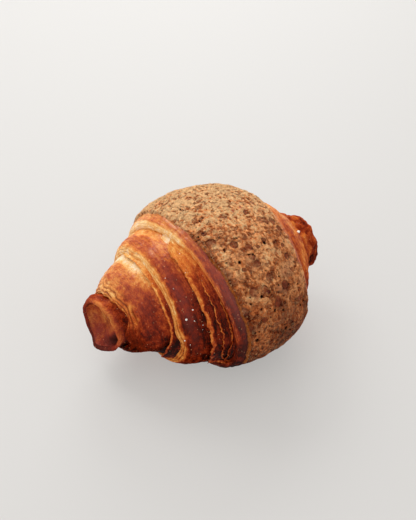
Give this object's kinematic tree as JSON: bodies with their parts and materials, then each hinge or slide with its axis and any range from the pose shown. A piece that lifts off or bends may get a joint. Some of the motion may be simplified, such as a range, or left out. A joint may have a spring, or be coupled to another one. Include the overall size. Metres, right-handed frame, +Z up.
{
  "type": "croissant",
  "caption": "Baked croissant: a fat roll of stepped dough turns with an almond crust, one open and one closed tip, flat underneath.",
  "frame": {"origin": "centre of the bounding box, at the flat underside that lay on the baking tray", "axes": "+X along the roll from its open tip to its closed tip, +Y to the back, where the tips bend to, +Z up"},
  "size_m": [0.1266, 0.1024, 0.078],
  "materials": {
    "baked_dough": "satin, egg-washed and browned"
  },
  "bodies": {
    "root": {"croissant": "baked_dough"}
  },
  "joints": []
}
